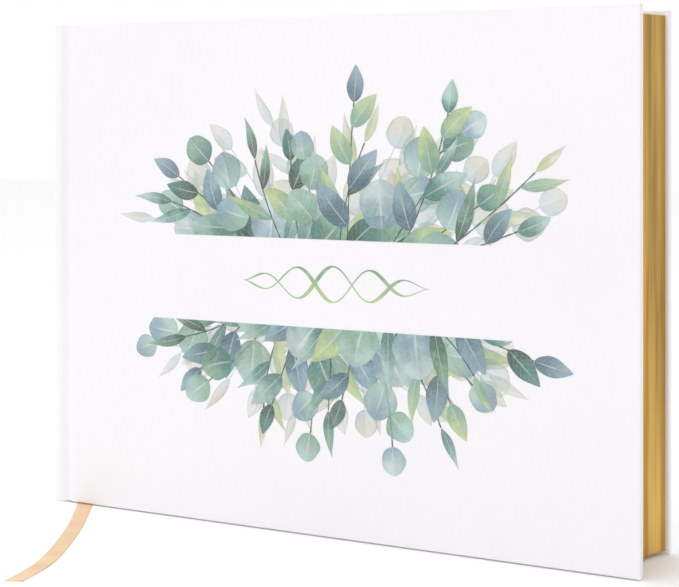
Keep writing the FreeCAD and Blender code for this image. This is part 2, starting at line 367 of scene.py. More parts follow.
gilt = {"bright": (0.78, 0.50, 0.14), "deep": (0.34, 0.19, 0.042), "grazing": (1.0, 0.66, 0.26), "rough": 0.36}


def makeGilt():
    # gold leaf on the trimmed edges: streaks between leaves, rubbed and pooled patches
    material, tree, shader = newMaterial("giltEdge", gilt["bright"], gilt["rough"], Metallic=0.97)
    place = objectPlace(tree)
    lines = noiseNode(tree, scaled(tree, place, (0.02, 1.0, 0.02)), 620.0, 3.0, 0.65)
    broad = noiseNode(tree, scaled(tree, place, (0.05, 1.0, 0.05)), 150.0, 2.0, 0.55)
    patches = noiseNode(tree, scaled(tree, place, (1.0, 1.0, 0.35)), 60.0, 4.0, 0.6)
    dark = times(tree, mapRange(tree, lines, 0.40, 0.66), 0.35)
    dark = timesPlus(tree, mapRange(tree, broad, 0.42, 0.66), 0.55, dark)
    dark = timesPlus(tree, mapRange(tree, patches, 0.40, 0.72), 0.16, dark, clamp=True)
    tone = mixColor(tree, dark, gilt["bright"], gilt["deep"])
    metal = mapRange(tree, patches, 0.62, 0.80, 0.98, 0.80)
    feed(shader, {"Metallic": metal, "Specular Tint": (*gilt["grazing"], 1.0)})
    dress(tree, shader, tone, mapRange(tree, lines, 0.3, 0.7, 0.28, 0.50), lines, 0.35, 0.06 * mm)
    return material


giltEdge = makeGilt()

clothKinds = {
    "tapeCotton": {"light": (0.83, 0.78, 0.66), "dark": (0.62, 0.56, 0.44), "threads": 2100.0, "rough": 0.88},
    "openMull": {"light": (0.88, 0.85, 0.77), "dark": (0.50, 0.46, 0.38), "threads": 900.0, "rough": 0.92},
}


def makeCloth(name):
    kind = clothKinds[name]
    material, tree, shader = newMaterial(name, kind["light"], kind["rough"], Sheen_Weight=0.15)
    place = objectPlace(tree)
    split = splitVector(tree, place)
    flat = addNode(tree, "ShaderNodeCombineXYZ", {0: split[1], 1: split[2]})
    weave = placeGroup(tree, threadWeave, Vector=flat, Across=kind["threads"], Along=kind["threads"], Slub=0.35)
    stain = noiseNode(tree, place, 70.0, 3.0)
    # darker where the weave is low, between the threads: painted shade
    gapShade = mapRange(tree, weave["Height"], 0.15, 0.75, 0.85, 0.0)
    tone = mixColor(tree, gapShade, kind["light"], kind["dark"])
    tone = mixColor(tree, mapRange(tree, stain, 0.4, 0.7, 0.0, 0.25), tone, kind["dark"], "MULTIPLY")
    rough = mapRange(tree, weave["Height"], 0.0, 1.0, 0.95, 0.80)
    dress(tree, shader, tone, rough, weave["Height"], 0.6, 0.12 * mm)
    return material


cloths = {name: makeCloth(name) for name in clothKinds}


def makeThread():
    material, tree, shader = newMaterial("waxedThread", (0.86, 0.81, 0.70), 0.55, Sheen_Weight=0.2)
    place = objectPlace(tree)
    terms = {"Vector": place, "Scale": 900.0, "Distortion": 1.5}
    ply = addNode(tree, "ShaderNodeTexWave", terms, wave_type="BANDS", bands_direction="DIAGONAL")
    wax = noiseNode(tree, place, 300.0, 3.0)
    # the ply's grooves are painted darker and its crowns lighter: painted shade and painted highlight
    tone = mixColor(tree, ply.outputs["Fac"], (0.66, 0.59, 0.46), (0.90, 0.86, 0.76))
    tone = mixColor(tree, mapRange(tree, wax, 0.4, 0.7, 0.0, 0.3), tone, (0.72, 0.62, 0.42))
    dress(tree, shader, tone, mapRange(tree, wax, 0.3, 0.7, 0.45, 0.68), ply.outputs["Fac"], 0.5, 0.08 * mm)
    return material


waxedThread = makeThread()

# light and deep are the satin's lit and shaded tones, mixed in broad bands as painted sheen and shade; deep also
# darkens the fine ribs, and edge is the selvedge's tone
ribbonLook = {"light": (0.955, 0.66, 0.36), "deep": (0.80, 0.50, 0.22), "edge": (0.70, 0.50, 0.30), "rough": 0.34}


def makeSatin():
    # reads the ribbon's own map: x across the width in metres, y along the length in metres
    shine = {"Anisotropic": 0.5, "Sheen_Weight": 0.25, "Sheen_Roughness": 0.35}
    material, tree, shader = newMaterial("ribbonSatin", ribbonLook["light"], ribbonLook["rough"], **shine)
    place = addNode(tree, "ShaderNodeUVMap", uv_map="along").outputs[0]
    weave = placeGroup(tree, threadWeave, Vector=place, Across=5200.0, Along=3400.0, Slub=0.5)
    ribs = noiseNode(tree, scaled(tree, place, (1.0, 6.0, 1.0)), 420.0, 3.0, 0.6)
    # broad bands along the ribbon's length, lighter and darker: painted sheen and shade
    bands = noiseNode(tree, scaled(tree, place, (0.4, 1.0, 1.0)), 55.0, 2.0, 0.5)
    fromMiddle = mathNode(tree, "ABSOLUTE", splitVector(tree, place)[0])
    selvedge = mapRange(tree, fromMiddle, 0.00245, 0.00272, kind="SMOOTHSTEP")
    tone = mixColor(tree, mapRange(tree, bands, 0.36, 0.66), ribbonLook["light"], ribbonLook["deep"])
    tone = mixColor(tree, mapRange(tree, ribs, 0.42, 0.70, 0.0, 0.34), tone, ribbonLook["deep"])
    # the weave's low threads are darkened: painted shade
    tone = mixColor(tree, mapRange(tree, weave["Height"], 0.2, 0.8, 0.22, 0.0), tone, ribbonLook["edge"])
    tone = mixColor(tree, times(tree, selvedge, 0.45), tone, ribbonLook["edge"])
    height = timesPlus(tree, selvedge, 0.6, weave["Height"])
    dress(tree, shader, tone, mapRange(tree, ribs, 0.3, 0.7, 0.26, 0.46), height, 0.35, 0.06 * mm)
    return material


ribbonSatin = makeSatin()


def makeBand():
    # silk wrapped over a core; the stripe attribute says which of the two colours a turn has
    material, tree, shader = newMaterial("bandSilk", (0.88, 0.84, 0.74), 0.42, Sheen_Weight=0.3)
    stripe = addNode(tree, "ShaderNodeAttribute", attribute_name="stripe")
    place = objectPlace(tree)
    fuzz = noiseNode(tree, place, 2600.0, 3.0, 0.6)
    tone = mixColor(tree, stripe.outputs["Fac"], (0.90, 0.87, 0.80), (0.68, 0.44, 0.14))
    tone = mixColor(tree, mapRange(tree, fuzz, 0.4, 0.7, 0.0, 0.35), tone, (0.42, 0.30, 0.14), "MULTIPLY")
    dress(tree, shader, tone, mapRange(tree, fuzz, 0.3, 0.7, 0.34, 0.55), fuzz, 0.3, 0.05 * mm)
    return material


bandSilk = makeBand()
print("materials ready")

# the printed sheet: groove along the spine, rounded edges, turned in all round the board
sheet = {
    "thick": 0.38 * mm, "edge": 0.62 * mm, "softEdge": 0.45 * mm, "corner": 0.8 * mm,
    "turnIn": 15 * mm, "boardFold": 3.1 * mm, "jointFold": 0.95 * mm,
    "liftFrom": 3 * mm, "liftOver": 6 * mm,  # where the front cover's tail rises off the spine's level
    "spineFold": 0.75 * mm, "spineSoft": 0.2 * mm, "spineTurnIn": 12 * mm,
}
groove = {"start": 3.9 * mm, "end": 10.2 * mm, "deep": 1.0 * mm}
boardStart = 10.0 * mm


def grooveDepth(u):
    t = (u - groove["start"]) / (groove["end"] - groove["start"])
    if t <= 0 or t >= 1:
        return 0.0
    return groove["deep"] * math.sin(math.pi * t) ** 2


def edgeSection(fold, radius):
    # (in from the edge, depth) over the rounded edge, from the face to the end of the turn-in
    steps = [(radius + 0.5 * mm, 0.0)]
    for k in range(7):
        a = math.radians(15 * k)
        steps.append((radius - radius * math.sin(a), radius - radius * math.cos(a)))
    for k in range(7):
        a = math.radians(15 * k)
        steps.append((radius - radius * math.cos(a), fold - radius + radius * math.sin(a)))
    steps.append((radius + 0.5 * mm, fold))
    steps.append((sheet["turnIn"], fold))
    return steps


def coverSheet(name, side, footZ):
    width = foreX - spineX
    corner = sheet["corner"]
    jointSteps = [shoulder + (9.75 * mm - shoulder) * k / 24 for k in range(25)]
    across = jointSteps + [boardStart, 10.6 * mm, 60 * mm, 120 * mm, 180 * mm, width - corner]

    def lowEdge(u):  # the front cover's tail stands a little higher than the spine's
        return footZ * smooth((u - sheet["liftFrom"]) / sheet["liftOver"])

    def turnCorner(z, start):
        for k in range(1, 6):
            a = math.radians(start - 15 * k)
            outU, outZ = math.cos(a), math.sin(a)
            stations.append((width - corner + corner * outU, z + corner * outZ, outU, outZ))

    stations = [(u, topZ, 0.0, 1.0) for u in across]
    turnCorner(topZ - corner, 90)
    for k in range(5):
        stations.append((width, topZ - corner - (topZ - footZ - 2 * corner) * k / 4, 1.0, 0.0))
    turnCorner(footZ + corner, 0)
    stations += [(u, lowEdge(u), 0.0, -1.0) for u in reversed(across)]

    points, rows = [], []
    for u, z, outU, outZ in stations:
        onBoard = u >= boardStart - 1e-7
        fold = sheet["boardFold"] if onBoard else sheet["jointFold"]
        radius = sheet["edge"] if onBoard else sheet["softEdge"]
        row = []
        for inset, depth in edgeSection(fold, radius):
            pu, pz = u - outU * inset, z - outZ * inset
            pu = min(pu, width - inset)
            pz = max(lowEdge(u) + inset, min(topZ - inset, pz))
            if onBoard:
                pu = max(pu, boardStart)
            row.append(len(points))
            points.append((spineX + pu, side * (halfThick - depth - grooveDepth(pu)), pz))
        rows.append(row)
    faces = bridgeRows(rows)
    count = len(jointSteps) + 2  # the grid over the groove reaches just past the board's start
    head = [row[0] for row in rows[:count]]
    tail = [row[0] for row in reversed(rows[-count:])]
    faces += bridgeRows([head, tail])
    faces.append(tuple(row[0] for row in rows[count - 1 : len(rows) - count + 1]))
    piece = makePiece(name, points, faces, [papers["coverPaper"]])
    mergeAndFace(piece, Vector((0, side, 0)))
    thicken(piece, sheet["thick"])
    sharpen(piece, 50)
    return piece


def bendCover(piece):
    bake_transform(piece)


frontSheet = coverSheet("frontCoverSheet", -1, frontLow.z)
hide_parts("front_wrap", "front_joint")
bendCover(frontSheet)
backSheet = coverSheet("backCoverSheet", 1, 0.0)
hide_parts("back_wrap", "back_joint")
bendCover(backSheet)


def spineSheet():
    # the rounded back between the two shoulders
    line = []
    toShoulder = Vector((spineX + shoulder - middleX, -shoulderY, 0)).normalized()
    lean = math.atan2(-toShoulder.x, -toShoulder.y)  # from straight forwards to the spine's arc
    for side in (-1, 1):
        part = []
        for k in range(9):
            a = lean * k / 8
            normal = Vector((-math.sin(a), side * math.cos(a), 0))
            centre = Vector((spineX + shoulder, side * shoulderY, 0))
            part.append((centre + normal * shoulder, normal, k / 8))
        line.append(part)
    reach = math.pi / 2 - lean
    arc = []
    for k in range(1, 40):
        a = -reach + 2 * reach * k / 40
        normal = Vector((-math.cos(a), math.sin(a), 0))
        arc.append((Vector((middleX, 0, 0)) + normal * spineRadius, normal, 1.0))
    profile = line[0] + arc + line[1][::-1]
    points, faces, ends = [], [], []
    for top in (True, False):
        rows = []
        for place, normal, share in profile:
            fold = sheet["jointFold"] + sheet["spineFold"] * smooth(share)
            radius = sheet["softEdge"] + sheet["spineSoft"] * smooth(share)
            row = []
            for inset, depth in edgeSection(fold, radius):
                inset = min(inset, sheet["spineTurnIn"])
                spot = place - normal * depth
                row.append(len(points))
                points.append((spot.x, spot.y, topZ - inset if top else inset))
            rows.append(row)
        faces += bridgeRows(rows)
        ends.append([row[0] for row in rows])
    faces += bridgeRows(ends)
    piece = makePiece("spineSheet", points, faces, [papers["coverPaper"]])
    mergeAndFace(piece, Vector((-1, 0, 0)))
    thicken(piece, sheet["thick"])
    sharpen(piece, 50)
    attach(piece, "text_block")
    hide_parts("spine_wrap")
    return piece


spineSheet()
print("printed case ready")

# the endpaper pasted on each board: it also lines the joint, down to the first fold
endpaper = {
    "thick": 0.2 * mm, "margin": 2.0 * mm, "depth": 3.3 * mm,
    "dip": 0.13 * mm, "window": 15.3 * mm, "soften": 1.6 * mm,  # it dips inside the frame of the sheet's turn-ins
}


def boardPaper(name, side, footZ):
    low, high = footZ + endpaper["margin"], topZ - endpaper["margin"]
    far = foreX - spineX - endpaper["margin"]
    jointLine = [  # along the cover and depth in, in mm: past the spine's turn, the groove and the board's edge
        (3.45, 3.25), (3.42, 2.6), (3.55, 1.7), (4.0, 1.05), (4.7, 0.98), (5.5, 1.28), (6.2, 1.58), (7.0, 1.72),
        (7.8, 1.62), (8.5, 1.35), (9.1, 1.12), (9.45, 1.2), (9.6, 1.6), (9.65, 2.4), (9.72, 2.95), (10.0, 3.2),
        (10.5, 3.29),
    ]
    line = [(u * mm, d * mm) for u, d in jointLine]
    window, soft = endpaper["window"], endpaper["soften"]
    edgeU = foreX - spineX - window
    flat = [11.2 * mm, 14 * mm, 60 * mm, 140 * mm, 200 * mm]
    flat += [edgeU + soft * (k / 4 - 1) for k in range(9)] + [far - 6 * mm, far]
    line += [(u, None) for u in flat]
    lowWindow, highWindow = footZ + window, topZ - window
    lowSteps, highSteps = ([at + soft * (k / 4 - 1) for k in range(9)] for at in (lowWindow, highWindow))
    levels = [low, low + 6 * mm, *lowSteps, 60 * mm, 95 * mm, 130 * mm, *highSteps, high - 6 * mm, high]
    points = []
    for u, depth in line:
        for z in levels:
            if depth is None:
                inside = 1.0
                for past in (edgeU - u, z - lowWindow, highWindow - z):
                    inside *= smooth((past + soft) / (2 * soft))
                put = endpaper["depth"] - endpaper["dip"] * inside
            else:
                put = depth
            points.append((spineX + u, side * (halfThick - put), z))
    count = len(levels)
    rows = [list(range(i * count, (i + 1) * count)) for i in range(len(line))]
    piece = makePiece(name, points, bridgeRows(rows), [papers["endPaper"]])
    mergeAndFace(piece, Vector((0, -side, 0)))
    thicken(piece, endpaper["thick"])
    sharpen(piece, 60)
    return piece


frontPaste = boardPaper("frontEndpaper", -1, frontLow.z)
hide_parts("front_pastedown")
bendCover(frontPaste)
backPaste = boardPaper("backEndpaper", 1, 0.0)
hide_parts("back_pastedown")
bendCover(backPaste)

# the leaves that turn: bound margin, soft fold line and the free leaf, with gilt edges
leaf = {"thick": 0.29 * mm, "firstDepth": 3.46 * mm, "pitch": 0.4 * mm, "slack": 1.7 * mm, "creep": 0.5 * mm}


def turningLeaf(name, side, number, paper, replaced):
    depth = leaf["firstDepth"] + number * leaf["pitch"]
    y = halfThick - depth - leaf["thick"] / 2
    start = middleX - math.sqrt(backRadius**2 - y**2) + 0.1 * mm
    end = leafEndX - hollowAt(y)
    stops = [start, start + 3 * mm]
    stops += [foldX - leaf["slack"] + 2 * leaf["slack"] * k / 12 for k in range(13)]
    stops += [foldX + (end - foldX) * k / 6 for k in range(1, 6)] + [end - leaf["creep"], end]
    levels = [leafLowZ + (leafHighZ - leafLowZ) * k / 4 for k in range(5)]
    points, grids = [], []
    for outer in (0, 1):
        faceY = halfThick - depth - outer * leaf["thick"]
        rows = []
        for x in stops[:-1] + [leafEndX - hollowAt(faceY)]:
            rows.append(list(range(len(points), len(points) + len(levels))))
            points += [(x, side * faceY, z) for z in levels]
        grids.append(rows)
    bays, cells = len(stops) - 1, len(levels) - 1
    faces = bridgeRows(grids[0]) + bridgeRows(grids[1]) + sideFaces(*grids)
    slots = [int(i == bays - 1) for i in range(bays) for _ in range(cells)] * 2  # gold creeps a little way in
    slots += [1] * (2 * bays) + [0] * cells + [1] * cells  # gilt at head, tail and fore-edge, paper at the fold
    piece = makePiece(name, points, faces, [paper, giltEdge], slots, shade=False)
    rework(piece, faceOut)
    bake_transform(piece)
    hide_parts(*replaced)
    return piece


for side, word in ((-1, "front"), (1, "back")):
    stood = [f"{word}_flyleaf", f"{word}_leaf_folds"]
    turningLeaf(f"{word}Flyleaf", side, 0, papers["endPaper"], stood)
    for number in (1, 2, 3):
        node = f"{word}_leaf_{number}"
        turningLeaf(f"{word}Leaf{number}", side, number, papers["pagePaper"], [node])
print("turning leaves ready")

# the sewn sections: stacks of leaves that follow the round back, by geometry nodes
stack = {"leaves": 12, "thick": 0.272 * mm, "uneven": 0.012 * mm, "seed": 11}


def geometryTree(name, inputs):
    group = bpy.data.node_groups.new(name, "GeometryNodeTree")
    sockets = [(title, "NodeSocket" + kind, None) for title, kind in inputs]
    return group, *groupSockets(group, sockets, [("Geometry", "NodeSocketGeometry")])


def buildLeafStack():
    group, entry, leave = geometryTree("leafStack", [
        ("Leaves", "Int"), ("Leaf Size", "Vector"), ("First Leaf", "Vector"), ("Pitch", "Vector"),
        ("Back Radius", "Float"), ("Hollow", "Float"), ("Uneven", "Float"), ("Seed", "Int"),
        ("Page", "Material"), ("Edge", "Material"),
    ])
    given = entry.outputs
    ends = {"Count": given["Leaves"], "Start Location": given["First Leaf"], "Offset": given["Pitch"]}
    line = addNode(group, "GeometryNodeMeshLine", ends, mode="OFFSET")
    low = times(group, given["Uneven"], -1.0)
    terms = {2: low, 3: given["Uneven"], "Seed": given["Seed"]}
    chance = addNode(group, "FunctionNodeRandomValue", terms, data_type="FLOAT")
    shift = addNode(group, "ShaderNodeCombineXYZ", {0: chance.outputs[1]})
    move = addNode(group, "GeometryNodeSetPosition", {"Geometry": line, "Offset": shift})
    slab = addNode(group, "GeometryNodeMeshCube", {"Size": given["Leaf Size"]})
    spread = addNode(group, "GeometryNodeInstanceOnPoints", {"Points": move, "Instance": slab})
    real = addNode(group, "GeometryNodeRealizeInstances", {0: spread})
    # every corner follows the round, so the trimmed ends make one smooth hollow
    y = splitVector(group, addNode(group, "GeometryNodeInputPosition").outputs[0])[1]
    squareR = times(group, given["Back Radius"], given["Back Radius"])
    sag = mathNode(group, "SQRT", mathNode(group, "SUBTRACT", squareR, times(group, y, y)))
    sag = mathNode(group, "SUBTRACT", sag, mathNode(group, "SUBTRACT", given["Back Radius"], given["Hollow"]))
    curved = addNode(group, "ShaderNodeCombineXYZ", {0: times(group, sag, -1.0)})
    follow = addNode(group, "GeometryNodeSetPosition", {"Geometry": real, "Offset": curved})
    edges = addNode(group, "GeometryNodeSetMaterial", {"Geometry": follow, "Material": given["Edge"]})
    facing = splitVector(group, addNode(group, "GeometryNodeInputNormal").outputs[0])[1]
    flat = mathNode(group, "GREATER_THAN", mathNode(group, "ABSOLUTE", facing), 0.9)
    terms = {"Geometry": edges, "Selection": flat, "Material": given["Page"]}
    feed(leave, {0: addNode(group, "GeometryNodeSetMaterial", terms)})
    return group


def runTree(piece, group, values):
    # each input is set by its socket's identifier
    modifier = piece.modifiers.new("tree", "NODES")
    modifier.node_group = group
    for item in group.interface.items_tree:
        if item.item_type == "SOCKET" and item.in_out == "INPUT":
            modifier[item.identifier] = values[item.name]
    bakeModifiers(piece)


leafStack = buildLeafStack()


def sewnSection(number):
    low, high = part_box(f"section_{number}")
    pitch = (high.y - low.y) / stack["leaves"]
    piece = makePiece(f"sectionLeaves{number}", [], [], [])
    length = leafEndX + backRadius - backCurve["hollow"] - middleX
    runTree(piece, leafStack, {
        "Leaves": stack["leaves"], "Leaf Size": (length, stack["thick"], leafHighZ - leafLowZ),
        "First Leaf": (leafEndX - length / 2, low.y + pitch / 2, (leafLowZ + leafHighZ) / 2),
        "Pitch": (0.0, pitch, 0.0), "Back Radius": backRadius, "Hollow": backCurve["hollow"],
        "Uneven": stack["uneven"], "Seed": stack["seed"] + number,
        "Page": papers["pagePaper"], "Edge": giltEdge,
    })
    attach(piece, "text_block")
    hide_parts(f"section_{number}")
    return piece


for number in range(1, 9):
    sewnSection(number)
print("sections ready")

# the ribbon: its free tail lies on the table and is the book's one free cord
ribbon = {
    "width": 6.0 * mm, "thick": 0.2 * mm, "length": 104.5 * mm, "place": 9.0 * mm,
    "wave": 0.12 * mm, "waveFrom": 55 * mm, "waveOver": 48 * mm, "cutLean": 2.2 * mm,
}
tailRoute = [  # from the shoulder line along the cover, and forwards from its face, in mm
    (15.9, 0.0), (25.3, 15.3), (36.0, 34.6), (45.6, 54.4), (53.0, 72.2), (55.6, 84.2), (56.8, 93.4),
]


def splinePoints(name, controls, resolution=24):
    curve = bpy.data.curves.new(name, "CURVE")
    curve.dimensions = "3D"
    curve.resolution_u = resolution
    spline = curve.splines.new("NURBS")
    spline.points.add(len(controls) - 1)
    for point, place in zip(spline.points, controls):
        point.co = (*place, 1.0)
    spline.order_u = 3
    spline.use_endpoint_u = True
    holder = bpy.data.objects.new(name, curve)
    mesh = bpy.data.meshes.new_from_object(holder)
    line = [v.co.copy() for v in mesh.vertices]
    bpy.data.meshes.remove(mesh)
    bpy.data.objects.remove(holder)
    bpy.data.curves.remove(curve)
    return line


def stripPiece(name, rows, width, thick, material, lift=None):
    # rows: (middle of the underside, direction across, direction up); a closed woven strip
    across = [-0.5, -0.455, -0.41, -0.22, 0.0, 0.22, 0.41, 0.455, 0.5]
    points, marks, grids = [], [], ([], [])
    travelled = 0.0
    for number, (place, side, up) in enumerate(rows):
        if number:
            travelled += (place - rows[number - 1][0]).length
        for top, grid in zip((True, False), grids):
            grid.append(list(range(len(points), len(points) + len(across))))
            for share in across:
                height = 0.0
                if top:
                    height = thick * (0.75 if abs(share) == 0.5 else 1.0 if abs(share) > 0.4 else 0.88)
                if lift:
                    height += lift(travelled, share)
                points.append(place + side * (share * width) + up * height)
                marks.append((share * width, travelled))
    faces = bridgeRows(grids[0]) + bridgeRows(grids[1]) + sideFaces(*grids)
    piece = makePiece(name, points, faces, [material])
    layer = piece.data.uv_layers.new(name="along")
    for loop in piece.data.loops:
        layer.data[loop.index].uv = marks[loop.vertex_index]
    rework(piece, faceOut)
    sharpen(piece, 50)
    return piece


rest = 0.00002  # the underside's height over the table
tailHeight = rest + ribbon["thick"] / 2
controls = [(spineX + along * mm, -halfThick - forwards * mm, tailHeight) for along, forwards in tailRoute]
tailLine = splinePoints("tailLine", controls)
up = Vector((0, 0, 1))


def tailRows(line):
    rows = []
    for k, place in enumerate(line):
        ahead = line[min(k + 1, len(line) - 1)] - line[max(k - 1, 0)]
        side = up.cross(ahead).normalized()
        rows.append((Vector((place.x, place.y, rest)), side, up))
    return rows


def tailLift(travelled, share):
    # a slight wave in the satin, under the sweep of the opening cover
    t = min(1.0, max(0.0, (travelled - ribbon["waveFrom"]) / ribbon["waveOver"]))
    return ribbon["wave"] * (0.5 - 0.5 * math.cos(2 * math.pi * t)) * (0.5 + share)


rows = tailRows(tailLine)
ribbonTail = stripPiece("ribbonTail", rows, ribbon["width"], ribbon["thick"], ribbonSatin, tailLift)
# the cut end leans, one edge a little longer than the other
place, side, _ = rows[-1]
for vertex in ribbonTail.data.vertices[-18:]:
    share = (vertex.co - place).dot(side) / ribbon["width"]
    vertex.co.y += share * ribbon["cutLean"]
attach(ribbonTail, "text_block")
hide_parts("ribbon_tail")


def insideRibbon():
    # glued on the folds at the head, over the head, twisted in to its slot and out under the cover
    slotX = spineX + ribbon["place"]
    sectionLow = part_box("section_3")[0]
    slotY = sectionLow.y - 0.15 * mm
    backX = middleX - math.sqrt((backRadius + 0.05 * mm) ** 2 - slotY**2)
    headZ = leafHighZ
    alongY, alongX = Vector((0, 1, 0)), Vector((1, 0, 0))
    rows = []
    for z in (headZ - 11 * mm, headZ - 7 * mm, headZ - 3 * mm, headZ - 0.4 * mm):
        rows.append((Vector((backX - 0.02 * mm, slotY, z)), alongY, Vector((-1, 0, 0))))
    for k in range(1, 5):
        a = math.radians(90 * k / 4)
        x = backX + 0.3 * mm - 0.32 * mm * math.cos(a)
        z = headZ - 0.3 * mm + 0.33 * mm * math.sin(a)
        rows.append((Vector((x, slotY, z)), alongY, Vector((-math.cos(a), 0, math.sin(a)))))
    twistSteps = 10
    for k in range(twistSteps + 1):
        t = k / twistSteps
        a = math.radians(90) * smooth(t)
        side = Vector((math.sin(a), math.cos(a), 0))
        x = backX + (slotX - backX) * (0.35 + 0.65 * smooth(t))
        hump = 0.9 * mm * math.sin(math.pi * min(1.0, t * 1.15))
        rise = headZ + 0.05 * mm + hump - 2.4 * mm * max(0.0, t - 0.72) / 0.28
        ahead = Vector((math.cos(a), 0, -math.sin(a)))
        rows.append((Vector((x, slotY, rise)), side, side.cross(ahead).normalized() * -1))
    for z in (headZ - 8 * mm, 0.5 * headZ, 8 * mm, 1.2 * mm):
        rows.append((Vector((slotX, slotY + 0.1 * mm, z)), alongX, Vector((0, -1, 0))))
    for k in range(1, 5):
        a = math.radians(90 * k / 4)
        bend = 0.6 * mm
        place = Vector((slotX, slotY + 0.1 * mm - bend * (1 - math.cos(a)), rest + bend * (1 - math.sin(a))))
        rows.append((place, alongX, Vector((0, -math.cos(a), math.sin(a)))))
    exitPlace, exitSide = Vector((tailLine[0].x, tailLine[0].y, rest)), tailRows(tailLine)[0][1]
    startPlace = rows[-1][0].copy()
    for k in range(1, 13):
        t = k / 12
        place = startPlace.lerp(exitPlace, t)
        place.x = startPlace.x + (exitPlace.x - startPlace.x) * (0.55 * t + 0.45 * t * t)
        rows.append((place, alongX.lerp(exitSide if exitSide.x > 0 else -exitSide, smooth(t)).normalized(), up))
    piece = stripPiece("ribbonMarker", rows, ribbon["width"], ribbon["thick"], ribbonSatin)
    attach(piece, "text_block")
    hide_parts("ribbon_marker")


insideRibbon()
print("ribbon ready")

# silk turns round the bead of each end band, by geometry nodes
band = {
    "turns": 88, "radius": 0.50 * mm, "strand": 0.085 * mm, "inColor": 4, "reach": 14.0 * mm,
    "behind": 0.05 * mm, "overHead": 0.8 * mm, "underTail": 0.6 * mm,
}


def buildBandTurns():
    group, entry, leave = geometryTree("bandTurns", [
        ("Turns", "Int"), ("Arc Radius", "Float"), ("Arc Centre", "Vector"), ("Half Angle", "Float"),
        ("Bead Radius", "Float"), ("Strand", "Float"), ("In Colour", "Int"), ("Silk", "Material"),
    ])
    given = entry.outputs
    line = addNode(group, "GeometryNodeMeshLine", {"Count": given["Turns"], "Offset": (0, 0, 0)}, mode="OFFSET")
    index = addNode(group, "GeometryNodeInputIndex").outputs[0]
    last = mathNode(group, "SUBTRACT", given["Turns"], 1.0)
    share = timesPlus(group, mathNode(group, "DIVIDE", index, last), 2.0, -1.0)
    angle = times(group, share, given["Half Angle"])
    minus = times(group, given["Arc Radius"], -1.0)
    alongX = times(group, mathNode(group, "COSINE", angle), minus)
    alongY = times(group, mathNode(group, "SINE", angle), given["Arc Radius"])
    spot = addNode(group, "ShaderNodeCombineXYZ", {0: alongX, 1: alongY})
    put = addNode(group, "ShaderNodeVectorMath", {0: spot, 1: given["Arc Centre"]}, operation="ADD")
    move = addNode(group, "GeometryNodeSetPosition", {"Geometry": line, "Position": put})
    block = mathNode(group, "FLOOR", mathNode(group, "DIVIDE", index, given["In Colour"]))
    terms = {"Name": "stripe", "Geometry": move, "Value": mathNode(group, "FLOORED_MODULO", block, 2.0)}
    store = addNode(group, "GeometryNodeStoreNamedAttribute", terms, data_type="FLOAT", domain="POINT")
    ring = addNode(group, "GeometryNodeCurvePrimitiveCircle", {"Resolution": 12, "Radius": given["Bead Radius"]})
    strand = addNode(group, "GeometryNodeCurvePrimitiveCircle", {"Resolution": 5, "Radius": given["Strand"]})
    tube = addNode(group, "GeometryNodeCurveToMesh", {"Curve": ring, "Profile Curve": strand})
    # the ring's axis goes from z to y, and then round with the arc
    turn = addNode(group, "ShaderNodeCombineXYZ", {0: math.pi / 2, 2: times(group, angle, -1.0)})
    toRotation = addNode(group, "FunctionNodeEulerToRotation", {0: turn})
    terms = {"Points": store, "Instance": tube, "Rotation": toRotation}
    spread = addNode(group, "GeometryNodeInstanceOnPoints", terms)
    real = addNode(group, "GeometryNodeRealizeInstances", {0: spread})
    feed(leave, {0: addNode(group, "GeometryNodeSetMaterial", {"Geometry": real, "Material": given["Silk"]})})
    return group


bandTurns = buildBandTurns()
beadArc = backRadius + band["behind"]
for word, beadZ in (("headband", leafHighZ + band["overHead"]), ("tailband", leafLowZ - band["underTail"])):
    piece = makePiece(word + "Silk", [], [], [])
    runTree(piece, bandTurns, {
        "Turns": band["turns"], "Arc Radius": beadArc, "Arc Centre": (middleX, 0.0, beadZ),
        "Half Angle": math.asin(band["reach"] / beadArc), "Bead Radius": band["radius"], "Strand": band["strand"],
        "In Colour": band["inColor"], "Silk": bandSilk,
    })
    piece.data.polygons.foreach_set("use_smooth", [True] * len(piece.data.polygons))
    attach(piece, "text_block")
print("end bands ready")

# the printed greenery: thin washes just over the sheet, grown by rule in two sprays about a blank band
wash = {
    "first": 0.012 * mm, "step": 0.0008 * mm,  # each wash lies this much further out than the last
    "grid": (18, 8), "narrow": 2.4, "narrowGrid": (10, 4), "edgeDark": 0.52, "veins": 0.16,
}
spray = {  # places and lengths in hundredths of the cover's height
    "middle": 67.0, "reach": 26.0, "bandLow": 40.0, "bandHigh": 57.0, "rise": 38.0, "fall": 31.0,
    "stems": 15, "fan": 68.0, "pitch": 4.6, "spread": 42.0, "seed": 34, "stemWidth": 0.26,
    "stemBend": 24.0, "leafBend": 14.0, "stemTurn": 9.0, "leafTurn": 7.0,  # by chance, up to so many degrees
    "longest": 0.80, "shortest": 0.45, "paleShare": 0.85, "tipShrink": 0.38,
}
tints = {
    "forest": (50, 90, 75), "teal": (85, 140, 130), "sage": (145, 185, 160), "mint": (185, 215, 205),
    "lime": (205, 220, 160), "slate": (85, 120, 135), "haze": (150, 180, 195), "mist": (210, 225, 225),
    "cream": (230, 228, 205), "ink": (70, 85, 75),
}
leafKinds = {  # half width along the leaf, from its stalk to its tip
    "willow": lambda t: math.sin(math.pi * t**0.78) ** 1.25 * (1 - 0.25 * t),
    "round": lambda t: math.sin(math.pi * t**0.92) ** 0.56,
    "ovate": lambda t: math.sin(math.pi * t**0.80) ** 0.82 * (1 - 0.18 * t**4),
}
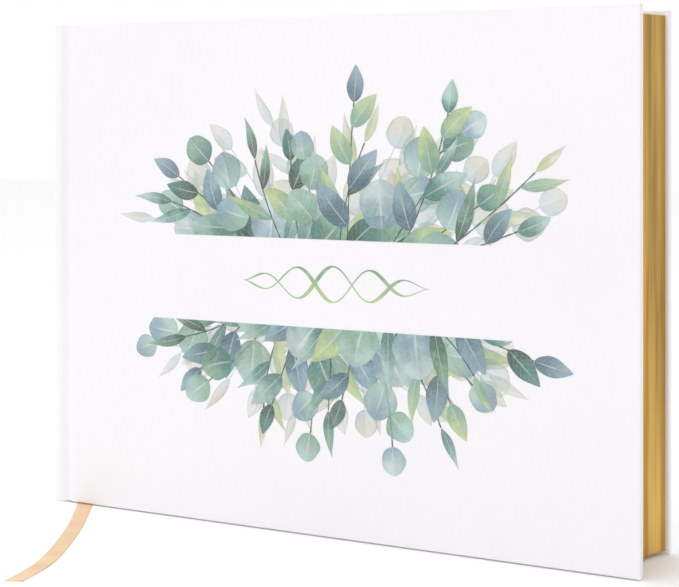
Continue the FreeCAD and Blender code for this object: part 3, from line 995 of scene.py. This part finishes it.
growth = {  # leaf length and width, their pitch as a share, and the tints a stem may take
    "round": (9.5, 8.6, 1.25, [("teal", "sage"), ("haze", "mist"), ("sage", "mint"), ("mint", "haze")]),
    "willow": (14.0, 3.7, 1.0, [("sage", "lime"), ("teal", "mint"), ("lime", "cream"), ("forest", "sage")]),
    "ovate": (11.5, 5.6, 1.1, [("forest", "teal"), ("slate", "haze"), ("sage", "lime"), ("teal", "mint")]),
}


def linear(rgb):
    return tuple((c / 255 / 12.92) if c <= 10 else ((c / 255 + 0.055) / 1.055) ** 2.4 for c in rgb)


def smoothLine(points, steps):
    # a smooth line through a stem's points
    line = []
    count = len(points)
    for i in range(count - 1):
        before, here, there, after = points[max(i - 1, 0)], points[i], points[i + 1], points[min(i + 2, count - 1)]
        for k in range(steps):
            t = k / steps
            spot = []
            for a, b, c, d in zip(before, here, there, after):
                bends = (2 * a - 5 * b + 4 * c - d) * t * t + (3 * b - a - 3 * c + d) * t**3
                spot.append(0.5 * (2 * b + (c - a) * t + bends))
            line.append(Vector(spot))
    line.append(Vector(points[-1]))
    return line


class WashSheet:
    # gathers the washes of the print in one mesh, with what each wash is painted with
    def __init__(self):
        self.points, self.faces, self.marks = [], [], []
        self.base, self.tip, self.look = [], [], []
        self.layer = 0

    def add(self, grid, marks, both, strength, seed, isLeaf):
        # both names the tints at the stalk and at the tip
        depth = wash["first"] + wash["step"] * self.layer
        self.layer += 1
        scale = topZ / 100
        baseTint, tipTint = ((*linear(tints[tint]), 1.0) for tint in both)
        rows = []
        for row, rowMarks in zip(grid, marks):
            rows.append(list(range(len(self.points), len(self.points) + len(row))))
            for (s, h), mark in zip(row, rowMarks):
                self.points.append((spineX + s * scale, -halfThick - depth, h * scale))
                self.marks.append(mark)
                self.base.append(baseTint)
                self.tip.append(tipTint)
                self.look.append((strength, seed, isLeaf))
        self.faces += bridgeRows(rows)

    def leaf(self, kind, place, heading, size, both, strength, bend, chance):
        length, width = size
        rows, marks = [], []
        steps, sides = wash["narrowGrid"] if width < wash["narrow"] else wash["grid"]
        ripple = chance.uniform(0, 6.28)
        wavy = 0.05 if kind == "round" else 0.03
        for i in range(steps + 1):
            t = i / steps
            angle = math.radians(heading + bend * (t - 0.3) * 1.4)
            ahead = Vector((math.cos(angle), math.sin(angle)))
            side = Vector((-ahead.y, ahead.x))
            half = width / 2 * leafKinds[kind](min(0.9999, max(0.0001, t)))
            row, rowMarks = [], []
            for j in range(sides + 1):
                v = 2 * j / sides - 1
                swell = 1 + wavy * math.sin(ripple + 9 * t + (2.1 if v > 0 else 0))
                row.append(tuple(place + side * (v * half * swell)))
                rowMarks.append((t, 0.5 + v / 2))
            rows.append(row)
            marks.append(rowMarks)
            place = place + ahead * (length / steps)
        self.add(rows, marks, both, strength, chance.uniform(0, 50), 1.0)

    def stem(self, points, width, tint, strength, chance):
        line = smoothLine(points, 8)
        rows, marks = [], []
        for i, place in enumerate(line):
            ahead = (line[min(i + 1, len(line) - 1)] - line[max(i - 1, 0)]).normalized()
            side = Vector((-ahead.y, ahead.x))
            half = width / 2 * (0.7 + 0.5 * abs(math.sin(i * 0.7 + len(points))))
            rows.append([tuple(place - side * half), tuple(place + side * half)])
            marks.append([(i / (len(line) - 1), 0.3), (i / (len(line) - 1), 0.7)])
        self.add(rows, marks, (tint, tint), strength, chance.uniform(0, 50), 0.0)

    def build(self, name, material, edge, above):
        # cut off straight at the band's edge, with what is above it or below it kept
        piece = makePiece(name, self.points, self.faces, [material])
        mesh = piece.data
        layer = mesh.uv_layers.new(name="leaf")
        for loop in mesh.loops:
            layer.data[loop.index].uv = self.marks[loop.vertex_index]
        for attribute, kind, values in (
            ("washBase", "COLOR", self.base), ("washTip", "COLOR", self.tip), ("washLook", "VECTOR", self.look),
        ):
            made = mesh.attributes.new(attribute, "FLOAT_" + kind, "POINT")
            made.data.foreach_set(kind.lower(), [c for value in values for c in value])

        def trim(work):
            bmesh.ops.bisect_plane(
                work, geom=[*work.verts, *work.edges, *work.faces], plane_co=(0, 0, edge * topZ / 100),
                plane_no=(0, 0, 1), clear_inner=above, clear_outer=not above,
            )
            faceFront(work)

        rework(piece, trim)
        return piece


def makeWashInk():
    # watercolour: tint runs from stalk to tip, pools at the rim, blooms and pale veins
    material, tree, shader = newMaterial("washInk", (0.5, 0.7, 0.6), 0.42)

    def painted(name):
        return addNode(tree, "ShaderNodeAttribute", attribute_name=name).outputs

    along, across, _ = splitVector(tree, addNode(tree, "ShaderNodeUVMap", uv_map="leaf"))
    strength, seed, isLeaf = splitVector(tree, painted("washLook")["Vector"])
    shift = addNode(tree, "ShaderNodeCombineXYZ", {1: seed})
    moved = addNode(tree, "ShaderNodeVectorMath", {0: objectPlace(tree), 1: shift}, operation="ADD").outputs[0]
    bloom = noiseNode(tree, moved, 110.0, 4.0, 0.55)
    speck = noiseNode(tree, moved, 1500.0, 3.0, 0.6)
    ragged = mathNode(tree, "SUBTRACT", bloom, 0.5)

    def wander(value, amount, clamp=False):
        return timesPlus(tree, ragged, amount, value, clamp=clamp)

    fromMiddle = times(tree, mathNode(tree, "ABSOLUTE", mathNode(tree, "SUBTRACT", across, 0.5)), 2.0)
    blend = mapRange(tree, wander(along, 1.1, True), 0.12, 0.85, kind="SMOOTHSTEP")
    tone = mixColor(tree, blend, painted("washBase")["Color"], painted("washTip")["Color"])
    # one half of the leaf is laid darker than the other
    halfSide = mapRange(tree, wander(across, 0.10), 0.485, 0.515)
    flip = mathNode(tree, "GREATER_THAN", mathNode(tree, "FRACT", seed), 0.5)
    side = mathNode(tree, "ABSOLUTE", mathNode(tree, "SUBTRACT", halfSide, flip))
    deeper = mixColor(tree, 1.0, tone, (0.66, 0.76, 0.74), "MULTIPLY")
    tone = mixColor(tree, times(tree, times(tree, side, isLeaf), 0.42), tone, deeper)
    rim = mapRange(tree, wander(fromMiddle, 0.25), 0.76, 0.99, kind="SMOOTHSTEP")
    stalk = mapRange(tree, along, 0.16, 0.0, kind="SMOOTHSTEP")
    rim = mathNode(tree, "MAXIMUM", rim, times(tree, stalk, 0.7))
    rim = times(tree, rim, times(tree, isLeaf, wash["edgeDark"]))
    tone = mixColor(tree, rim, tone, mixColor(tree, 1.0, tone, (0.50, 0.64, 0.62), "MULTIPLY"))
    vein = mapRange(tree, wander(fromMiddle, 0.05), 0.075, 0.02)
    vein = times(tree, vein, mapRange(tree, along, 0.9, 0.55))
    ribs = mathNode(tree, "SINE", times(tree, timesPlus(tree, fromMiddle, -0.22, along), 52.0))
    ribs = mapRange(tree, ribs, 0.86, 1.0, 0.0, wash["veins"])
    vein = times(tree, mathNode(tree, "MAXIMUM", times(tree, vein, 0.5), ribs), isLeaf)
    tone = mixColor(tree, vein, tone, (0.90, 0.94, 0.90))
    tone = mixColor(tree, mapRange(tree, speck, 0.35, 0.75, 0.0, 0.14), tone, (0.95, 0.97, 0.95))
    cover = times(tree, strength, mapRange(tree, bloom, 0.30, 0.66, 0.62, 1.0))
    cover = mathNode(tree, "ADD", cover, times(tree, rim, 0.22), clamp=True)
    feed(shader, {"Alpha": cover, "Coat Weight": 0.2, "Coat Roughness": 0.3})
    dress(tree, shader, tone, 0.42, speck, 0.05, 0.02 * mm)
    return material


washInk = makeWashInk()


def swerve(chance, name):
    return chance.uniform(-spray[name], spray[name])


def growStem(painted, chance, root, heading, length, bend, kind, pale):
    # one stem, its leaves by turns left and right and one at the tip
    leafLength, leafWidth, stride, choices = growth[kind]
    steps = 12
    line = [Vector(root)]
    for k in range(steps):
        angle = math.radians(heading + bend * k / steps)
        line.append(line[-1] + Vector((math.cos(angle), math.sin(angle))) * (length / steps))
    tint, strength = ("mist", 0.6) if pale else ("ink", 0.9)
    painted.stem([tuple(p) for p in line[::3]], spray["stemWidth"], tint, strength, chance)
    pitch = spray["pitch"] * stride
    leaves = max(2, int(length / pitch))
    for k in range(leaves + 1):
        t = k / leaves
        spot = line[min(steps, round(t * steps))]
        way = 0 if k == leaves else (1 if k % 2 else -1)
        shrink = (1 - spray["tipShrink"] * t) * chance.uniform(0.86, 1.1)
        turn = heading + bend * t + way * spray["spread"] * (1 - 0.35 * t) + swerve(chance, "leafTurn")
        both = ("mist", "cream") if pale else chance.choice(choices)
        strength = chance.uniform(0.45, 0.65) if pale else chance.uniform(0.82, 1.0)
        size = (leafLength * shrink, leafWidth * shrink)
        painted.leaf(kind, spot, turn, size, both, strength, swerve(chance, "leafBend"), chance)


def growSpray(name, edge, way, height, seed):
    chance = random.Random(seed)
    painted = WashSheet()
    order = [(pale, k) for pale in (True, False) for k in range(spray["stems"])]
    kinds = list(growth)
    for pale, k in order:
        share = 2 * (k + 0.5) / spray["stems"] - 1 + chance.uniform(-0.04, 0.04)
        heading = way * (90 - share * spray["fan"]) + swerve(chance, "stemTurn")
        length = height * (1 - 0.30 * share * share) * chance.uniform(spray["shortest"], spray["longest"])
        if pale:
            length *= spray["paleShare"]
        root = (spray["middle"] + share * spray["reach"], edge - way * 2.0)
        kind = kinds[(k + pale) % len(kinds)]
        growStem(painted, chance, root, heading, length, swerve(chance, "stemBend"), kind, pale)
    piece = painted.build(name, washInk, edge, way > 0)
    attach(piece, "front_cover")


growSpray("printAbove", spray["bandHigh"], 1, spray["rise"], spray["seed"])
growSpray("printBelow", spray["bandLow"], -1, spray["fall"], spray["seed"] + 1)
print("print ready")

# the title's place holds a plain ornament and no letters: two crossing waves that run out to points
twist = {
    "middle": (66.5, 48.5), "reach": 20.0, "height": 3.4, "waves": 2.5, "steps": 160,
    "thin": 0.28, "broad": 0.95, "depth": 0.010 * mm, "upper": (115, 160, 120), "lower": (170, 195, 140),
}


def makePenInk():
    material, tree, shader = newMaterial("penInk", linear(twist["upper"]), 0.38)
    place = objectPlace(tree)
    middle = twist["middle"][1] / 100 * topZ
    rise = mapRange(tree, splitVector(tree, place)[2], middle - 6 * mm, middle + 6 * mm, kind="SMOOTHSTEP")
    bloom = noiseNode(tree, place, 260.0, 3.0)
    tone = mixColor(tree, rise, linear(twist["lower"]), linear(twist["upper"]))
    tone = mixColor(tree, mapRange(tree, bloom, 0.35, 0.7, 0.0, 0.35), tone, (0.72, 0.82, 0.64))
    dress(tree, shader, tone, mapRange(tree, bloom, 0.3, 0.7, 0.32, 0.5), bloom, 0.05, 0.02 * mm)
    return material


def penTwist():
    scale = topZ / 100
    steps = twist["steps"]
    points, faces = [], []
    for strand in (1, -1):
        line = []
        for k in range(steps + 1):
            t = 2 * k / steps - 1
            swing = (1 - abs(t) ** 2.2) * math.sin(math.pi * twist["waves"] * (t + 1))
            line.append(Vector((twist["reach"] * t, strand * twist["height"] * swing)))
        depth = twist["depth"] + (0.002 * mm if strand < 0 else 0.0)
        rows = []
        for k, spot in enumerate(line):
            t = 2 * k / steps - 1
            ahead = (line[min(k + 1, steps)] - line[max(k - 1, 0)]).normalized()
            side = Vector((-ahead.y, ahead.x))
            press = max(0.0, strand * ahead.y)
            half = (twist["thin"] + (twist["broad"] - twist["thin"]) * press) / 2 * (1 - 0.8 * abs(t) ** 6)
            rows.append([len(points), len(points) + 1])
            for way in (-1, 1):
                place = spot + side * (way * half) + Vector(twist["middle"])
                points.append((spineX + place.x * scale, -halfThick - depth, place.y * scale))
        faces += bridgeRows(rows)
    piece = makePiece("penTwist", points, faces, [makePenInk()])
    rework(piece, faceFront)
    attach(piece, "front_cover")


penTwist()
print("twist ready")

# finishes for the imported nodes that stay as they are
keptFinishes = {
    "front_board": papers["greyBoard"],
    "back_board": papers["greyBoard"],
    "spine_card": papers["greyBoard"],
    "sewing_tapes": cloths["tapeCotton"],
    "mull": cloths["openMull"],
    "sewing_thread": waxedThread,
    "spine_liner": papers["kraftPaper"],
    "headband": cloths["tapeCotton"],
    "tailband": cloths["tapeCotton"],
}
for name, material in keptFinishes.items():
    for item in nodes[name].material_slots:
        item.material = material

# floor, light and camera
studio = {
    "floor": 3.0, "tone": (0.97, 0.97, 0.972), "toneDark": (0.955, 0.955, 0.958),
    "world": 1.0, "rightSide": 0.70, "floorGlow": 0.055,
}
lamps = [  # name, place and aim in metres, size and power
    ("topLight", (-0.25, -0.35, 1.25), (-0.05, -0.05, 0.0), 1.1, 3.3),
    ("sideLight", (-0.55, -1.05, 0.60), (-0.08, 0.0, 0.10), 0.7, 0.15),
]


def buildStudio():
    size = studio["floor"]
    white = (1.0, 1.0, 1.0, 1.0)
    material, tree, shader = newMaterial("paleFloor", studio["tone"], 0.75)
    tone = mixColor(tree, noiseNode(tree, objectPlace(tree), 3.0, 2.0), studio["tone"], studio["toneDark"])
    feed(shader, {"Base Color": tone, "Emission Color": white, "Emission Strength": studio["floorGlow"]})
    corners = [(-size, -size, 0), (size, -size, 0), (size, size, 0), (-size, size, 0)]
    floor = makePiece("floor", corners, [(0, 1, 2, 3)], [material])
    world = bpy.data.worlds.new("studioWorld")
    world.use_nodes = True
    # the room is dimmer on the side that the fore-edge faces
    room = world.node_tree
    toward = splitVector(room, addNode(room, "ShaderNodeTexCoord").outputs["Generated"])[0]
    strength = mapRange(room, toward, 0.1, 0.8, studio["world"], studio["rightSide"], "SMOOTHSTEP")
    feed(room.nodes["Background"], {0: white, 1: strength})
    scene.world = world
    scene.view_settings.view_transform = "Standard"
    for name, place, aim, size, power in lamps:
        data = bpy.data.lights.new(name, "AREA")
        data.shape = "SQUARE"
        data.size = size
        data.energy = power
        lamp = bpy.data.objects.new(name, data)
        lamp.location = place
        lamp.rotation_euler = (Vector(aim) - Vector(place)).to_track_quat("-Z", "Y").to_euler()
        scene.collection.objects.link(lamp)


view = {"across": 0.38059, "away": 0.4888, "height": 0.14871, "turn": 27.24, "lens": 80.75, "shiftY": -0.2435}


def buildCamera():
    data = bpy.data.cameras.new("camera")
    data.lens = view["lens"]
    data.sensor_width = 36.0
    data.shift_y = view["shiftY"]
    data.clip_start, data.clip_end = 0.01, 20.0
    camera = bpy.data.objects.new("camera", data)
    camera.location = (spineX + view["across"], -halfThick - view["away"], view["height"])
    camera.rotation_euler = (math.radians(90), 0, math.radians(view["turn"]))
    scene.collection.objects.link(camera)
    scene.camera = camera


buildStudio()
buildCamera()
print("studio ready")
